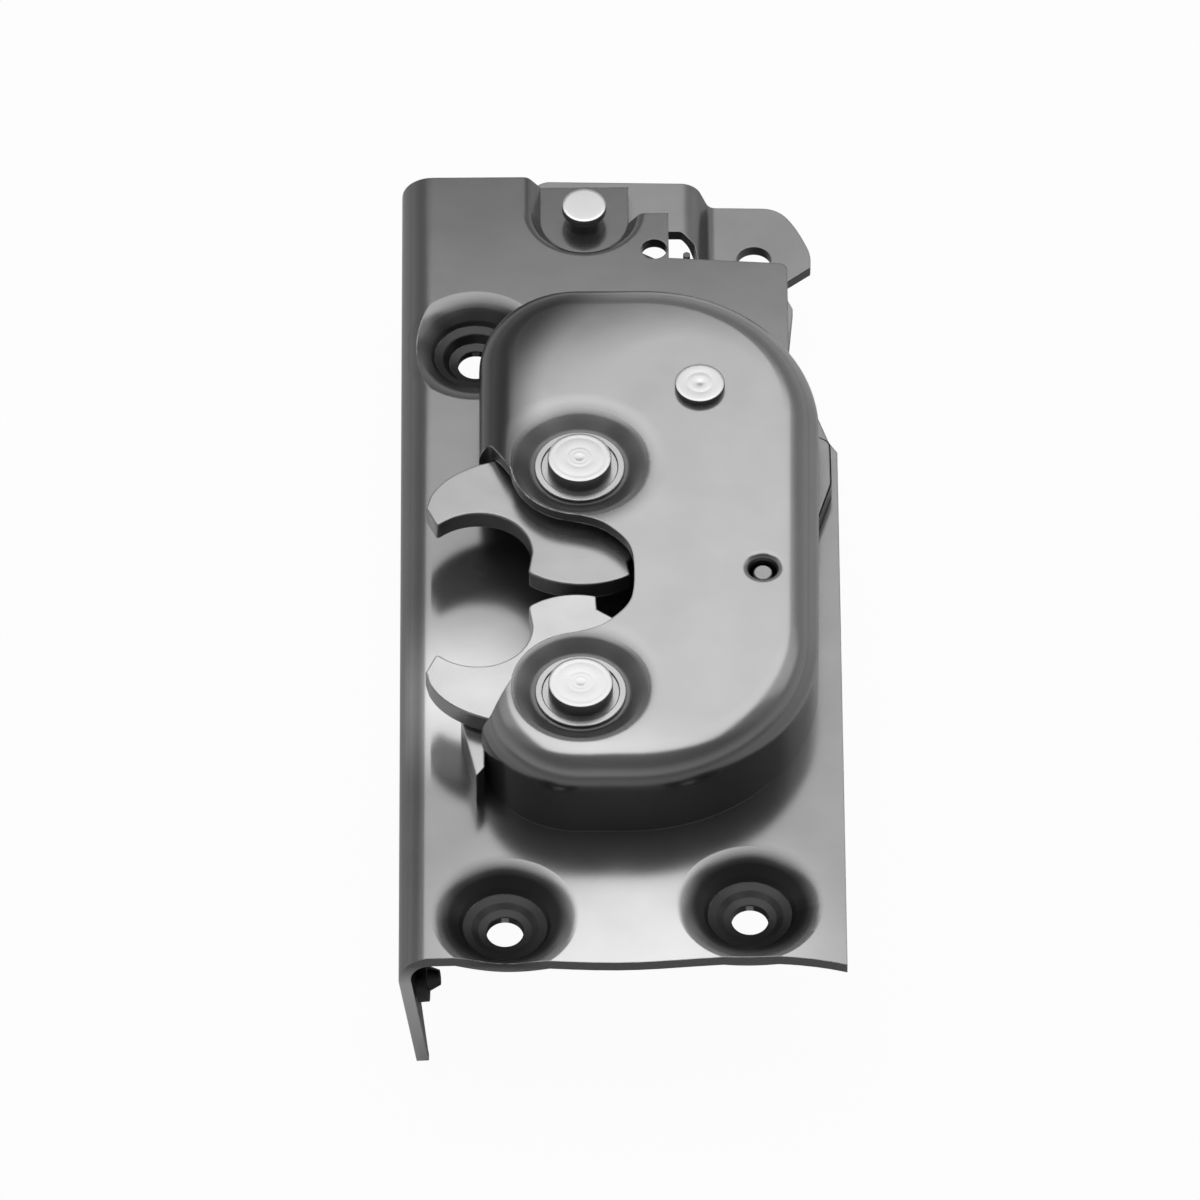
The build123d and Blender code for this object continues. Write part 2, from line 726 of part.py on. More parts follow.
# Detent rivet, its spacer under the housing, and the detent spring
with BuildPart() as detent_rivet:
    add(stepped_pin(detent_pivot, [
        (-sheet - tail_height, -sheet, detent_pin_radius + 2),
        (-sheet, housing_height, detent_pin_radius),
        (housing_height, housing_height + detent_head_height, detent_head_radius),
    ]))
    rims = detent_rivet.edges().filter_by(GeomType.CIRCLE).sort_by(Axis.Z)
    chamfer([rims[0], rims[-1]], 0.4)
detent_rivet.part.label = "detent_rivet"

with BuildPart() as detent_spacer:
    with BuildSketch(Plane.XY.offset(fork_top + seat_gap)):
        with Locations(detent_pivot):
            Circle(detent_hub_radius)
            Circle(detent_pin_radius, mode=Mode.SUBTRACT)
    extrude(amount=housing_under - fork_top - seat_gap)
detent_spacer.part.label = "detent_spacer"

detent_spring_radius = detent_hub_radius + 0.6 + moving_gap + 0.2
detent_spring_low = arm_top + 1.0
detent_spring = torsion_spring(detent_pivot, detent_spring_radius, 0.6, detent_spring_low,
                               1.75, 1.5, 200, 9.0, 9.0)
detent_spring.label = "detent_spring"

# Locating post riveted in the plate
with BuildPart() as locating_post:
    add(stepped_pin(post_at, [
        (-sheet - 1.0, -sheet, post_radius + 1.2),
        (-sheet, fork_top, post_radius),
        (fork_top, housing_height - 1.6, post_tip_radius),
    ]))
    chamfer(locating_post.edges().filter_by(GeomType.CIRCLE).sort_by(Axis.Z)[-1], 0.25)
locating_post.part.label = "locating_post"

# Outside release lever: a stepped arm behind the plate
with BuildPart() as outside_release_lever:
    upper_mid = lever_upper - sheet / 2
    lower_mid = lever_lower - sheet / 2
    with BuildSketch(Plane.XZ.offset(-lever_top - 2)):
        with BuildLine():
            FilletPolyline(
                (-14, upper_mid), (joggle_start, upper_mid), (joggle_start + joggle_run, lower_mid),
                (48, lower_mid),
                radius=joggle_fillet + sheet / 2,
            )
            offset(amount=sheet / 2, side=Side.BOTH, kind=Kind.ARC)
        make_face()
    extrude(amount=42)
    with BuildSketch(Plane.XY.offset(lever_lower - sheet - 1)) as lever_plan:
        with BuildLine():
            top_edge = Polyline((-8.8, 104), (-8.8, lever_top), (20, lever_top - 0.7), (33.8, lever_top - 1))
            end_arc = Spline(
                top_edge @ 1, (39.4, 110.4), (42.3, 104.5), (43.1, 98.9),
                tangents=((1, 0), (-0.1, -1)),
            )
            Polyline(
                end_arc @ 1, (38.9, 95.6), (37.6, 93.6), (39.7, 88.6), (38.9, 79.5), (36.5, 77.5),
                (31.0, 80.5), (27.4, 89.0), (25.4, 92.9), (11.0, 92.9), (4.0, 94.0), (-5.0, 96.0),
                (-8.8, 104),
            )
        make_face()
        rounding = lever_plan.vertices()
        fillet(rounding.sort_by_distance((-8.8, lever_top))[0], 3.5)
        fillet(rounding.sort_by_distance((39.7, 88.6))[0], 4.0)
        fillet(rounding.sort_by_distance((36.5, 77.5))[0], 2.0)
        fillet(rounding.sort_by_distance((-5.0, 96.0))[0], 3.0)
        with BuildSketch(mode=Mode.SUBTRACT) as opening:
            with BuildLine():
                FilletPolyline(
                    (11.2, 102.0), (19.0, 102.0), (21.6, 99.4), (22.4, 94.8), (12.0, 94.8),
                    radius=1.0, close=True,
                )
            make_face()
        with Locations(lever_pivot):
            Circle(lever_pin_radius + pin_gap, mode=Mode.SUBTRACT)
        with Locations(rod_hole_at):
            Circle(rod_hole_radius, mode=Mode.SUBTRACT)
    extrude(amount=lever_drop + sheet + 4, mode=Mode.INTERSECT)

    # Flat lobe that carries the link, clear of the bend
    with BuildSketch(Plane.XY.offset(lever_upper - sheet)):
        add(tangent_hull(link_pin_at, link_width / 2, (11.5, 95.5), 3.6))
        with BuildLine():
            Polyline((-2.0, 95.5), (11.5, 99.0), (16.0, 92.95), (15.0, 84.5), (3.0, 93.6), close=True)
        make_face()
        with BuildLine():
            Polyline((11.2, 94.8), (11.2, 102.0), (26.0, 102.0), (26.0, 94.8), close=True)
        make_face(mode=Mode.SUBTRACT)
        with BuildLine():
            Polyline((17.0, 92.4), (17.0, 94.8), (26.0, 94.8), (26.0, 92.4), close=True)
        make_face(mode=Mode.SUBTRACT)
        with Locations(link_pin_at):
            Circle(link_pin_radius, mode=Mode.SUBTRACT)
    extrude(amount=sheet)
outside_release_lever.part.label = "outside_release_lever"

# Lever pin with its head in the pad, and the washer that keeps the lever on it
spring_room = 6.2
pin_end = lever_upper - sheet - spring_room
with BuildPart() as release_lever_pin:
    add(stepped_pin(lever_pivot, [
        (pin_end - 1.6, pin_end, lever_pin_radius + 1.4),
        (pin_end, -pad_depth + 2.9, lever_pin_radius),
        (-pad_depth + 2.9, -pad_depth + 2.9 + lever_pin_head_height, lever_pin_head_radius),
    ]))
    rims = release_lever_pin.edges().filter_by(GeomType.CIRCLE).sort_by(Axis.Z)
    chamfer([rims[0], rims[-1]], 0.3)
release_lever_pin.part.label = "release_lever_pin"

with BuildPart() as lever_pin_washer:
    with BuildSketch(Plane.XY.offset(pin_end)):
        with Locations(lever_pivot):
            Circle(lever_pin_radius + 3.2)
            Circle(lever_pin_radius, mode=Mode.SUBTRACT)
    extrude(amount=0.8)
lever_pin_washer.part.label = "lever_pin_washer"

lever_wire = 0.65
lever_coil_radius = lever_pin_radius + lever_wire + moving_gap
coil_low = pin_end + 0.8 + lever_wire + 0.4
release_lever_spring = torsion_spring(lever_pivot, lever_coil_radius, lever_wire, coil_low,
                                      2.25, 1.35, 61.8, 17.8, 9.0, lever_upper - coil_low - 2.0)
release_lever_spring.label = "release_lever_spring"

# Release link from the lever to the detent arm, with a hook turned up through the plate
with BuildPart() as release_link:
    with BuildSketch(Plane.XY.offset(link_top - sheet)) as strap:
        add(tangent_hull(link_pin_at, link_width / 2, hook_at, link_width / 2))
        with Locations(link_pin_at):
            Circle(link_pin_radius + pin_gap, mode=Mode.SUBTRACT)
    extrude(amount=sheet)
    with BuildSketch(Plane.XY.offset(link_top - sheet)):
        with Locations(hook_at):
            Rectangle(hook_width, sheet)
    extrude(amount=0.4 + detent_arm_thickness + 0.2 - link_top + sheet)
release_link.part.label = "release_link"

with BuildPart() as link_rivet:
    add(stepped_pin(link_pin_at, [
        (link_top - sheet - 1.2, link_top - sheet, link_pin_radius + 1.4),
        (link_top - sheet, lever_upper, link_pin_radius - 0.02),
    ]))
link_rivet.part.label = "link_rivet"


# Locking lever and inside release lever on the flange's inner face
flange_levers = []
for name, pivot, arms, clip_holes in (
    ("locking_lever", lock_pivot_y, ((-28.0, 1.6, 3.0), (15.0, -5.0, 4.0)), [(15.0, -5.0)]),
    ("inside_release_lever", inside_pivot_y, ((-22.0, -6.0, 4.2), (24.0, -3.0, 4.4)), [(-22.0, -6.0), (24.0, -3.0)]),
):
    with BuildPart() as flange_lever:
        with BuildSketch(flange_plane(pivot, flange_pivot_depth, moving_gap)):
            for along, across, end_radius in arms:
                add(tangent_hull((0, 0), flange_hub_radius, (along, across), end_radius))
            Circle(flange_pin_radius + pin_gap, mode=Mode.SUBTRACT)
            with Locations(*clip_holes):
                Circle(clip_hole_radius, mode=Mode.SUBTRACT)
        extrude(amount=flange_lever_thickness)
        if name == "locking_lever":
            with BuildSketch(flange_plane(pivot, flange_pivot_depth, moving_gap + flange_lever_thickness)):
                with Locations(lock_pin_at):
                    Circle(lock_pin_radius)
            extrude(amount=lock_pin_height, taper=25)
    flange_lever.part.label = name
    with BuildPart() as flange_rivet:
        with BuildSketch(flange_plane(pivot, flange_pivot_depth, -sheet)):
            Circle(flange_pin_radius + flush_head)
        extrude(amount=flush_head, taper=45)
        with BuildSketch(flange_plane(pivot, flange_pivot_depth, -sheet)):
            Circle(flange_pin_radius)
        extrude(amount=sheet + 2 * moving_gap + flange_lever_thickness)
        with BuildSketch(flange_plane(pivot, flange_pivot_depth, 2 * moving_gap + flange_lever_thickness)):
            Circle(flange_pin_radius + 2.0)
        extrude(amount=1.5)
    flange_rivet.part.label = name.replace("lever", "rivet")
    flange_levers += [flange_lever.part, flange_rivet.part]

single_parts = [
    frame_plate.part, fork_housing.part, upper_fork_bolt.part, lower_fork_bolt.part, detent_lever.part,
    detent_arm.part, detent_rivet.part, detent_spacer.part, detent_spring, locating_post.part,
    outside_release_lever.part, release_lever_pin.part, lever_pin_washer.part, release_lever_spring,
    release_link.part, link_rivet.part,
]
for piece in single_parts + fork_parts + flange_levers:
    export_step(piece, "parts/" + piece.label + ".step")
    print(piece.label, round(piece.volume, 1), len(piece.solids()))
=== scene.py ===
"""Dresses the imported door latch: modelled rivets, forks and arm, metal finishes, studio and camera."""

import logging
import math
from dataclasses import dataclass, field, replace
from enum import Enum

import bpy
from mathutils import Matrix, Vector


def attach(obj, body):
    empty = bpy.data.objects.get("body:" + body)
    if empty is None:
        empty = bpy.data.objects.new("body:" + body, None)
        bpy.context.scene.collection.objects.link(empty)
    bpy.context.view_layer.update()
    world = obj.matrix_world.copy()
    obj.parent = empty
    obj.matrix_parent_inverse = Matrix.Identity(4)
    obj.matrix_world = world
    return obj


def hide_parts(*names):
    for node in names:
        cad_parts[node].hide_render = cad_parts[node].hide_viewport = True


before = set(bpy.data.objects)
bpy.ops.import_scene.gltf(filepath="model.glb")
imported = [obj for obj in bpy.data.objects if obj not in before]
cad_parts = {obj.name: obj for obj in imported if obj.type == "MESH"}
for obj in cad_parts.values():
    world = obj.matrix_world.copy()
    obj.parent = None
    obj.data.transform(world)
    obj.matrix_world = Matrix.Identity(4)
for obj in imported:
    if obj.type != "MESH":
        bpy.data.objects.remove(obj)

Tree = bpy.types.NodeTree
Node = bpy.types.Node
Socket = bpy.types.NodeSocket

LOG = logging.getLogger("door_latch")
MM = 0.001

# Colour inputs of a Mix node, given by number because its other types have inputs of the same names
COLOUR_A, COLOUR_B = 6, 7

# Part of a noise's range that its values fill
NOISE_LOW, NOISE_HIGH = 0.3, 0.7

# The clear passivation film over the zinc scatters the rest of the light
METAL_SHARE = 0.86


class Slot(Enum):
    """Material slot names of the record, which each modelled piece carries as a label."""

    FORK = "fork_steel"
    ARM = "arm_steel"
    RIVET = "bright_rivet"


def linear(hex_code: str) -> tuple[float, float, float, float]:
    """Turn an sRGB hex colour into linear light.

    Args:
        hex_code: Colour such as "#8a8a8a".

    Returns:
        Linear red, green, blue and alpha 1.
    """
    channels = [int(hex_code[i : i + 2], 16) / 255 for i in (1, 3, 5)]
    light = [c / 12.92 if c <= 0.04045 else ((c + 0.055) / 1.055) ** 2.4 for c in channels]
    return (light[0], light[1], light[2], 1.0)


def add_node(tree: Tree, kind: str, links: dict[str | int, object] | None = None, **settings: object) -> Node:
    """Add one shader node with its settings and links.

    Args:
        tree: Node tree that takes the node.
        kind: Blender's node type, without the ShaderNode that it starts with.
        links: Input sockets by name or index, each with a constant, an output socket,
            or a node that stands for its first output in use.
        settings: Node properties by name.

    Returns:
        The new node.
    """
    made = tree.nodes.new("ShaderNode" + kind)
    for name, value in settings.items():
        setattr(made, name, value)
    for key, value in (links or {}).items():
        if isinstance(value, Node):
            value = next(output for output in value.outputs if output.enabled)
        if isinstance(value, Socket):
            tree.links.new(value, made.inputs[key])
        else:
            made.inputs[key].default_value = value
    return made


def axis_distance(tree: Tree, at: Socket, axis_mm: tuple[float, float]) -> Node:
    """Measure the distance from an axis along Z.

    Args:
        tree: Node tree of the material.
        at: Place on the piece.
        axis_mm: X and Y of the axis.

    Returns:
        A node that gives the distance in metres.
    """
    foot = (axis_mm[0] * MM, axis_mm[1] * MM, 0.0)
    away = add_node(tree, "VectorMath", {0: at, 1: foot}, operation="SUBTRACT")
    level = add_node(tree, "VectorMath", {0: away, 1: (1.0, 1.0, 0.0)}, operation="MULTIPLY")
    return add_node(tree, "VectorMath", {0: level}, operation="LENGTH")


def fall_away(tree: Tree, past: Node, bend: float, normal: Node) -> Node:
    """Let the surface fall away with the square of a distance.

    Args:
        tree: Node tree of the material.
        past: How far past the start of the fall, in millimetres, and 0 before it.
        bend: Depth in millimetres after the first millimetre.
        normal: Normal of the surface before the fall.

    Returns:
        A node that gives the new normal.
    """
    squared = add_node(tree, "Math", {0: past, 1: past}, operation="MULTIPLY")
    depth = add_node(tree, "Math", {0: squared, 1: -bend}, operation="MULTIPLY")
    return add_node(tree, "Bump", {"Height": depth, "Distance": MM, "Normal": normal})


@dataclass(frozen=True)
class SoftSpot:
    """A round spot seen along Z, with a soft border inside its edge."""

    x_mm: float
    y_mm: float
    radius_mm: float
    border_mm: float


def mark_spots(tree: Tree, at: Socket, spots: tuple[SoftSpot, ...], most: float) -> Node:
    """Mark soft round spots.

    Args:
        tree: Node tree of the material.
        at: Place on the piece.
        spots: One spot or more.
        most: Value well inside a spot.

    Returns:
        A node that gives the value, 0 outside the spots.
    """
    marked: Node | float = 0.0
    for spot in spots:
        inside = add_node(
            tree,
            "MapRange",
            {
                "Value": axis_distance(tree, at, (spot.x_mm, spot.y_mm)),
                "From Min": spot.radius_mm * MM,
                "From Max": (spot.radius_mm - spot.border_mm) * MM,
                "To Max": most,
            },
            interpolation_type="SMOOTHSTEP",
        )
        marked = add_node(tree, "Math", {0: marked, 1: inside}, operation="MAXIMUM")
    return marked


@dataclass(frozen=True)
class LongCore:
    """The middle of the drawn cover: all that lies within a radius of an axis along Y.

    The axis has an X and two ends in Y. Distances from the core are measured up to the farthest.
    """

    x_mm: float
    low_mm: float
    high_mm: float
    radius_mm: float
    farthest_mm: float = 40.0

    def past(self, tree: Tree, at: Socket) -> Node:
        """Measure how far a place lies outside the core.

        Args:
            tree: Node tree of the material.
            at: Place on the piece.

        Returns:
            A node that gives the distance in millimetres, 0 inside.
        """
        low, high = self.low_mm * MM, self.high_mm * MM
        place = add_node(tree, "SeparateXYZ", {0: at})
        along = add_node(
            tree,
            "MapRange",
            {"Value": place.outputs["Y"], "From Min": low, "From Max": high, "To Min": low, "To Max": high},
        )
        nearest = add_node(tree, "CombineXYZ", {0: self.x_mm * MM, 1: along, 2: place.outputs["Z"]})
        away = add_node(tree, "VectorMath", {0: at, 1: nearest}, operation="DISTANCE")
        return add_node(
            tree,
            "MapRange",
            {
                "Value": away,
                "From Min": self.radius_mm * MM,
                "From Max": (self.radius_mm + self.farthest_mm) * MM,
                "To Max": self.farthest_mm,
            },
        )


@dataclass(frozen=True, kw_only=True)
class MetalFinish:
    """A metal surface: its tones, gloss, the marks its making left, and painted light and shade.

    Lengths are real millimetres. A grain too fine for the picture is drawn as coarse as it shows.
    A facing is the cosine of an angle, and each pair gives where an effect starts and where it is full.
    """

    name: str
    colour: str
    # Painted shade: upright faces and sheared edges take this darker colour instead of the plain one
    flank_shade_colour: str
    wear_and_sheen_colour: str
    roughness: float
    roughness_spread: float = 0.03
    gloss_patch_mm: float = 9.0
    mottle: float = 0.05
    mottle_patch_mm: float = 14.0
    wave_mm: float = 7.0
    wave_height_mm: float = 0.01
    grain_mm: float = 0.8
    grain_height_mm: float = 0.0
    edge_radius_mm: float = 0.3
    edge_facing: tuple[float, float] = (0.985, 0.88)
    # Edges are painted bright in patches: part handling wear, part painted highlight
    edge_wear_and_sheen: float = 0.5
    wear_and_sheen_patch_mm: float = 2.2
    wear_and_sheen_patch_noise: tuple[float, float] = (0.35, 0.6)
    wear_and_sheen_above_mm: float = -100.0
    flat_facing: tuple[float, float] = (0.25, 1.0)

    def worn_and_sheen_edges(self, tree: Tree, at: Socket, soft: Node) -> Node:
        """Find the edges painted bright in patches: part handling wear, part painted highlight.

        Args:
            tree: Node tree of the material.
            at: Place on the piece.
            soft: Normal with rounded edges.

        Returns:
            A node that gives the share of bright metal.
        """
        geometry = add_node(tree, "NewGeometry")
        facing = add_node(tree, "VectorMath", {0: soft, 1: geometry.outputs["True Normal"]}, operation="DOT_PRODUCT")
        start, full = self.edge_facing
        edge = add_node(
            tree, "MapRange", {"Value": facing, "From Min": start, "From Max": full, "To Max": self.edge_wear_and_sheen}
        )
        noise = add_node(tree, "TexNoise", {"Vector": at, "Scale": 1 / (self.wear_and_sheen_patch_mm * MM), "Detail": 3.0})
        start, full = self.wear_and_sheen_patch_noise
        patches = add_node(tree, "MapRange", {"Value": noise, "From Min": start, "From Max": full})
        place = add_node(tree, "SeparateXYZ", {0: at})
        reached = add_node(tree, "Math", {0: place.outputs["Z"], 1: self.wear_and_sheen_above_mm * MM}, operation="GREATER_THAN")
        patched_reach = add_node(tree, "Math", {0: patches, 1: reached}, operation="MULTIPLY")
        return add_node(tree, "Math", {0: edge, 1: patched_reach}, operation="MULTIPLY")

    def marks(self, tree: Tree, place: Node, flat: Node) -> list[tuple[Node, str]]:
        """Give the finish's own marks between its base tones and its bright edges of wear and painted highlight.

        Args:
            tree: Node tree of the material.
            place: Texture coordinates.
            flat: How flat the face lies.

        Returns:
            Each mark's share and colour, the lowest first.
        """
        return []

    def tone(self, tree: Tree, place: Node, soft: Node) -> Node:
        """Mix the colour: painted shade on the upright flanks, the flats' own colour, marks, edges painted bright as
        wear and highlight, and a faint mottle.

        Args:
            tree: Node tree of the material.
            place: Texture coordinates.
            soft: Normal with rounded edges.

        Returns:
            A node that gives the colour.
        """
        at = place.outputs["Object"]
        turned = add_node(tree, "SeparateXYZ", {0: place.outputs["Normal"]})
        upright = add_node(tree, "Math", {0: turned.outputs["Z"]}, operation="ABSOLUTE")
        start, full = self.flat_facing
        flat = add_node(
            tree,
            "MapRange",
            {"Value": upright, "From Min": start, "From Max": full},
            interpolation_type="SMOOTHSTEP",
        )
        layers = [
            (flat, self.colour),
            *self.marks(tree, place, flat),
            (self.worn_and_sheen_edges(tree, at, soft), self.wear_and_sheen_colour),
        ]
        mixed: Node | tuple[float, float, float, float] = linear(self.flank_shade_colour)
        for share, colour in layers:
            sockets = {"Factor": share, COLOUR_A: mixed, COLOUR_B: linear(colour)}
            mixed = add_node(tree, "Mix", sockets, data_type="RGBA")
        noise = add_node(tree, "TexNoise", {"Vector": at, "Scale": 1 / (self.mottle_patch_mm * MM), "Detail": 4.0})
        mottle = add_node(
            tree,
            "MapRange",
            {
                "Value": noise,
                "From Min": NOISE_LOW,
                "From Max": NOISE_HIGH,
                "To Min": 1 - self.mottle,
                "To Max": 1 + self.mottle,
            },
        )
        return add_node(tree, "VectorMath", {0: mixed, "Scale": mottle}, operation="SCALE")

    def gloss(self, tree: Tree, at: Socket) -> Node:
        """Vary the roughness in soft patches.

        Args:
            tree: Node tree of the material.
            at: Place on the piece.

        Returns:
            A node that gives the roughness.
        """
        noise = add_node(tree, "TexNoise", {"Vector": at, "Scale": 1 / (self.gloss_patch_mm * MM), "Detail": 1.0})
        return add_node(
            tree,
            "MapRange",
            {
                "Value": noise,
                "From Min": NOISE_LOW,
                "From Max": NOISE_HIGH,
                "To Min": self.roughness - self.roughness_spread,
                "To Max": self.roughness + self.roughness_spread,
            },
        )

    def relief(self, tree: Tree, at: Socket, soft: Node) -> Node:
        """Build the surface relief: soft waves left by the press, and the grain.

        Args:
            tree: Node tree of the material.
            at: Place on the piece.
            soft: Normal with rounded edges.

        Returns:
            A node that gives the shading normal.
        """
        normal = soft
        for size_mm, height_mm in ((self.wave_mm, self.wave_height_mm), (self.grain_mm, self.grain_height_mm)):
            if height_mm:
                noise = add_node(tree, "TexNoise", {"Vector": at, "Scale": 1 / (size_mm * MM), "Detail": 2.0})
                normal = add_node(tree, "Bump", {"Height": noise, "Distance": height_mm * MM, "Normal": normal})
        return normal

    def build(self) -> bpy.types.Material:
        """Build the node material.

        Returns:
            The finished material.
        """
        material = bpy.data.materials.new(self.name)
        material.use_nodes = True
        tree = material.node_tree
        tree.nodes.clear()
        place = add_node(tree, "TexCoord")
        at = place.outputs["Object"]
        soft = add_node(tree, "Bevel", {"Radius": self.edge_radius_mm * MM}, samples=4)
        shader = add_node(
            tree,
            "BsdfPrincipled",
            {
                "Base Color": self.tone(tree, place, soft),
                "Metallic": METAL_SHARE,
                "Roughness": self.gloss(tree, at),
                "Normal": self.relief(tree, at, soft),
            },
        )
        add_node(tree, "OutputMaterial", {"Surface": shader})
        return material


@dataclass(frozen=True, kw_only=True)
class PressedFinish(MetalFinish):
    """Dark zinc on pressed sheet: painted pools of light on its flats, painted shade and matt down in its seats."""

    # Painted light: soft spots where the flats take a lighter colour
    painted_light_spots: tuple[SoftSpot, ...]
    painted_light_colour: str
    # Painted shade: soft spots round the seats and dishes take a dark colour
    seat_shade_spots: tuple[SoftSpot, ...]
    seat_shade_share: float = 1.0
    seat_shade_colour: str = "#434344"
    deep_roughness: float = 0.14
    cut_colour: str | None = None
    cut_facing: tuple[float, float] = (0.97, 0.99)
    cut_depth_mm: tuple[float, float] = (-2.0, -7.0)

    def cut_ends(self, tree: Tree, place: Node) -> Node:
        """Find the sheared ends of the flange, where the zinc is bright.

        Args:
            tree: Node tree of the material.
            place: Texture coordinates.

        Returns:
            A node that gives the share of bright zinc.
        """
        turned = add_node(tree, "SeparateXYZ", {0: place.outputs["Normal"]})
        along = add_node(tree, "Math", {0: turned.outputs["Y"]}, operation="ABSOLUTE")
        start, full = self.cut_facing
        sheared = add_node(tree, "MapRange", {"Value": along, "From Min": start, "From Max": full})
        height = add_node(tree, "SeparateXYZ", {0: place.outputs["Object"]})
        start, full = self.cut_depth_mm
        below = add_node(
            tree, "MapRange", {"Value": height.outputs["Z"], "From Min": start * MM, "From Max": full * MM}
        )
        return add_node(tree, "Math", {0: sheared, 1: below}, operation="MULTIPLY")

    def marks(self, tree: Tree, place: Node, flat: Node) -> list[tuple[Node, str]]:
        """Give the painted pools of light, the painted shade in the seats, and the cut ends where they show.

        Args:
            tree: Node tree of the material.
            place: Texture coordinates.
            flat: How flat the face lies.

        Returns:
            Each mark's share and colour, the lowest first.
        """
        at = place.outputs["Object"]
        lit_share = mark_spots(tree, at, self.painted_light_spots, 1.0)
        lit_flats = add_node(tree, "Math", {0: lit_share, 1: flat}, operation="MULTIPLY")
        deep = mark_spots(tree, at, self.seat_shade_spots, self.seat_shade_share)
        marks = [(lit_flats, self.painted_light_colour), (deep, self.seat_shade_colour)]
        if self.cut_colour:
            marks.append((self.cut_ends(tree, place), self.cut_colour))
        return marks

    def gloss(self, tree: Tree, at: Socket) -> Node:
        """Vary the roughness in soft patches, and dull the deep spots.

        Args:
            tree: Node tree of the material.
            at: Place on the piece.

        Returns:
            A node that gives the roughness.
        """
        dulled = mark_spots(tree, at, self.seat_shade_spots, self.deep_roughness)
        return add_node(tree, "Math", {0: super().gloss(tree, at), 1: dulled}, operation="ADD")


@dataclass(frozen=True, kw_only=True)
class DrawnFinish(PressedFinish):
    """The same zinc on the drawn cover: crowned, shaded along its upper rim, and running out into its dishes."""

    crown: LongCore
    crown_bend: float
    shaded: LongCore
    shaded_run_mm: float = 8.0
    shaded_rise_mm: float = 12.0
    shaded_colour: str = "#5c5c5d"
    dish_centres_mm: tuple[tuple[float, float], ...]
    # Radii round a dish where the runout is deepest and where it begins
    runout_mm: tuple[float, float] = (12.3, 16.5)
    runout_bend: float = 0.012

    def marks(self, tree: Tree, place: Node, flat: Node) -> list[tuple[Node, str]]:
        """Give the shaded upper rim under the marks of pressed sheet.

        Args:
            tree: Node tree of the material.
            place: Texture coordinates.
            flat: How flat the face lies.

        Returns:
            Each mark's share and colour, the lowest first.
        """
        at = place.outputs["Object"]
        height = add_node(tree, "SeparateXYZ", {0: at})
        upper = add_node(tree, "MapRange", {"Value": height.outputs["Y"], "From Max": self.shaded_rise_mm * MM})
        rim = add_node(
            tree,
            "MapRange",
            {"Value": self.shaded.past(tree, at), "From Max": self.shaded_run_mm},
            interpolation_type="SMOOTHSTEP",
        )
        shade = add_node(tree, "Math", {0: rim, 1: upper}, operation="MULTIPLY")
        return [(shade, self.shaded_colour), *super().marks(tree, place, flat)]

    def relief(self, tree: Tree, at: Socket, soft: Node) -> Node:
        """Add the crown and the soft runouts round the dishes to the relief.

        Args:
            tree: Node tree of the material.
            at: Place on the piece.
            soft: Normal with rounded edges.

        Returns:
            A node that gives the shading normal.
        """
        crowned = self.crown.past(tree, at)
        normal = fall_away(tree, crowned, self.crown_bend, super().relief(tree, at, soft))
        inner, outer = self.runout_mm
        for centre in self.dish_centres_mm:
            inside = add_node(
                tree,
                "MapRange",
                {
                    "Value": axis_distance(tree, at, centre),
                    "From Min": outer * MM,
                    "From Max": inner * MM,
                    "To Max": outer - inner,
                },
            )
            normal = fall_away(tree, inside, self.runout_bend, normal)
        return normal


@dataclass(frozen=True, kw_only=True)
class PeenedFinish(MetalFinish):
    """The zinc of a spun rivet head, whose fine rings run round its own centre."""

    centre_mm: tuple[float, float] = (0.0, 0.0)
    ring_pitch_mm: float = 0.6
    ring_height_mm: float = 0.002

    def relief(self, tree: Tree, at: Socket, soft: Node) -> Node:
        """Add the rings that the peening tool left to the relief.

        Args:
            tree: Node tree of the material.
            at: Place on the piece.
            soft: Normal with rounded edges.

        Returns:
            A node that gives the shading normal.
        """
        rings = add_node(
            tree,
            "TexNoise",
            {"W": axis_distance(tree, at, self.centre_mm), "Scale": 1 / (self.ring_pitch_mm * MM), "Detail": 1.0},
            noise_dimensions="1D",
        )
        normal = super().relief(tree, at, soft)
        return add_node(tree, "Bump", {"Height": rings, "Distance": self.ring_height_mm * MM, "Normal": normal})


# Pressed steel sheet, dark zinc plated: a soft mirror, with painted pools of light on its flats and painted shade in
# its seats
BLACK_ZINC_SHEET = PressedFinish(
    name="black_zinc_pressed_sheet",
    colour="#8f8f90",
    flank_shade_colour="#6e6e6f",
    wear_and_sheen_colour="#e0e0e0",
    roughness=0.19,
    roughness_spread=0.01,
    edge_wear_and_sheen=0.7,
    painted_light_spots=(SoftSpot(10.0, -81.0, 48.0, 43.0), SoftSpot(-22.0, -14.0, 24.0, 21.0)),
    painted_light_colour="#cfcfd0",
    seat_shade_spots=(
        SoftSpot(-13.8, -64.4, 13.5, 4.2),
        SoftSpot(30.0, -62.0, 13.5, 4.2),
        SoftSpot(-18.2, 70.4, 12.6, 4.2),
    ),
    cut_colour="#d0d0d1",
)

